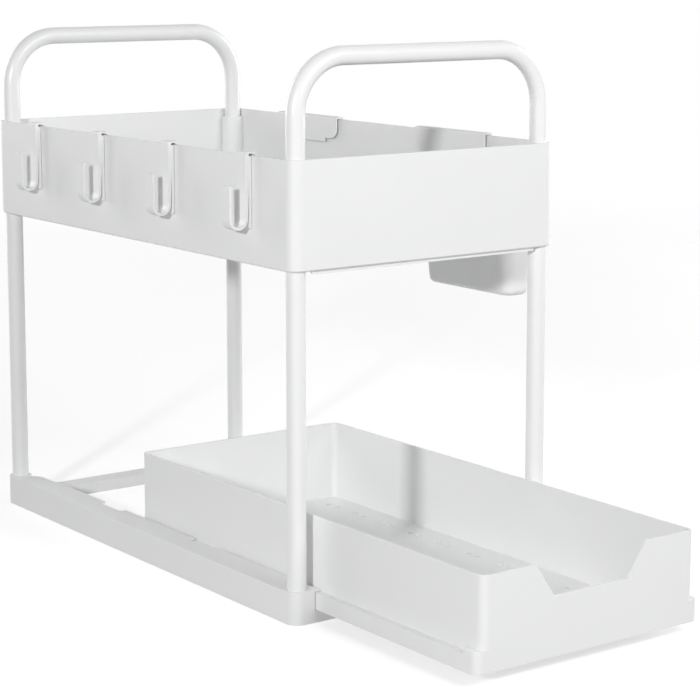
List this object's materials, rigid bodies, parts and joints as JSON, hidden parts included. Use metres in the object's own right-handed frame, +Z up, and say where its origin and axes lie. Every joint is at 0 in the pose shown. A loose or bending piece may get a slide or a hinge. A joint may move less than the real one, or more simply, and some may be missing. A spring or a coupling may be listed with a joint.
{
  "type": "two-tier pull-out spice rack",
  "caption": "Two-tier counter rack: open base with a pull-out drawer, round posts, a deep top tray with bent tube handles, clip-on hooks and clip-on cups.",
  "frame": {"origin": "middle of the footprint, on the surface that the base stands on", "axes": "+X across the rack to the right as seen from the drawer's front, +Y along the rack from the drawer's front to the back, +Z up"},
  "size_m": [0.2852, 0.5767, 0.3819],
  "materials": {
    "moulded_plastic": "white injection-moulded plastic with a fine satin grain",
    "powder_coated_tube": "white powder-coated steel tube"
  },
  "bodies": {
    "frame": {"base_frame": "moulded_plastic", "tray": "moulded_plastic", "post_front_left": "powder_coated_tube", "post_front_right": "powder_coated_tube", "post_rear_left": "powder_coated_tube", "post_rear_right": "powder_coated_tube", "handle_front": "powder_coated_tube", "handle_rear": "powder_coated_tube"},
    "drawer": {"drawer": "moulded_plastic"},
    "hook_1": {"hook_1": "moulded_plastic"},
    "hook_2": {"hook_2": "moulded_plastic"},
    "hook_3": {"hook_3": "moulded_plastic"},
    "hook_4": {"hook_4": "moulded_plastic"},
    "cup_front": {"cup_front": "moulded_plastic"},
    "cup_rear": {"cup_rear": "moulded_plastic"}
  },
  "joints": [
    {"name": "drawer_slide", "type": "slide", "parent": "frame", "child": "drawer", "axis": [0, -1, 0], "range_m": [-0.154, 0.0927]},
    {"name": "hook_1_lift", "type": "slide", "parent": "frame", "child": "hook_1", "axis": [0, 0, 1], "range_m": [0, 0.015]},
    {"name": "hook_2_lift", "type": "slide", "parent": "frame", "child": "hook_2", "axis": [0, 0, 1], "range_m": [0, 0.015]},
    {"name": "hook_3_lift", "type": "slide", "parent": "frame", "child": "hook_3", "axis": [0, 0, 1], "range_m": [0, 0.015]},
    {"name": "hook_4_lift", "type": "slide", "parent": "frame", "child": "hook_4", "axis": [0, 0, 1], "range_m": [0, 0.015]},
    {"name": "cup_front_lift", "type": "slide", "parent": "frame", "child": "cup_front", "axis": [0, 0, 1], "range_m": [0, 0.0195]},
    {"name": "cup_rear_lift", "type": "slide", "parent": "frame", "child": "cup_rear", "axis": [0, 0, 1], "range_m": [0, 0.0195]}
  ]
}
